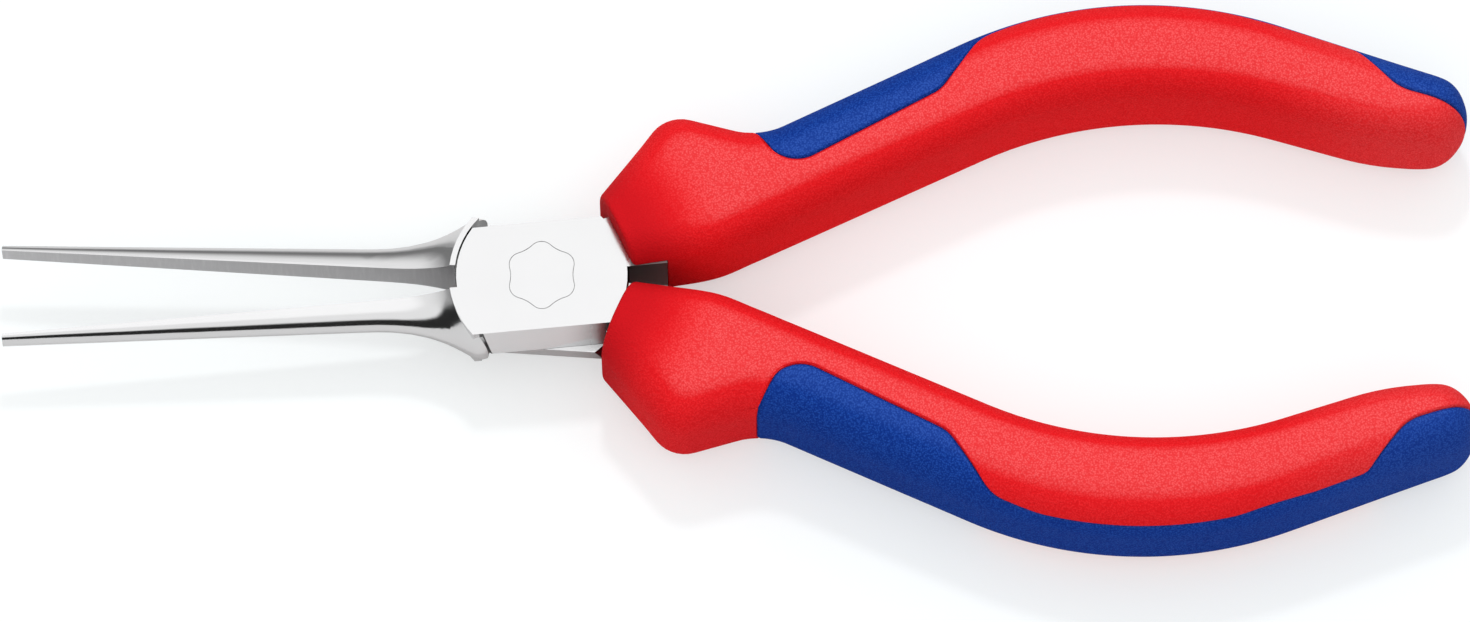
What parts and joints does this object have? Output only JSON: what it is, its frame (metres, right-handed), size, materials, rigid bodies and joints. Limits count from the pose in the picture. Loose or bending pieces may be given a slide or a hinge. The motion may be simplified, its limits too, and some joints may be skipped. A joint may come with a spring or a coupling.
{
  "type": "needle-nose pliers",
  "caption": "Needle-nose pliers: slim half-round jaws, a riveted lap joint and bent handles with two-component grips, for gripping and bending wire in tight places.",
  "frame": {"origin": "on the pivot axis, in the rear face of the lap joint", "axes": "+X from the jaws towards the handle ends, +Z along the rivet towards its wavy head, +Y towards the handle of the front lever"},
  "size_m": [0.1599, 0.061, 0.0164],
  "materials": {
    "plated_steel": "chrome plate, polished on the jaws and finely ground on the joint faces",
    "rivet_steel": "ground flush with the joint",
    "hard_grip": "fine leather grain, satin",
    "soft_grip": "fine leather grain, soft satin"
  },
  "bodies": {
    "front_half": {"front_lever": "plated_steel", "rivet": "rivet_steel", "front_sleeve": "hard_grip", "front_inlay": "soft_grip"},
    "rear_half": {"rear_lever": "plated_steel", "rear_sleeve": "hard_grip", "rear_inlay": "soft_grip"}
  },
  "joints": [
    {"name": "pivot", "type": "hinge", "parent": "front_half", "child": "rear_half", "pos_m": [0, 0, 0.0045], "axis": [0, 0, -1], "range_deg": [-9.25, 32]}
  ]
}
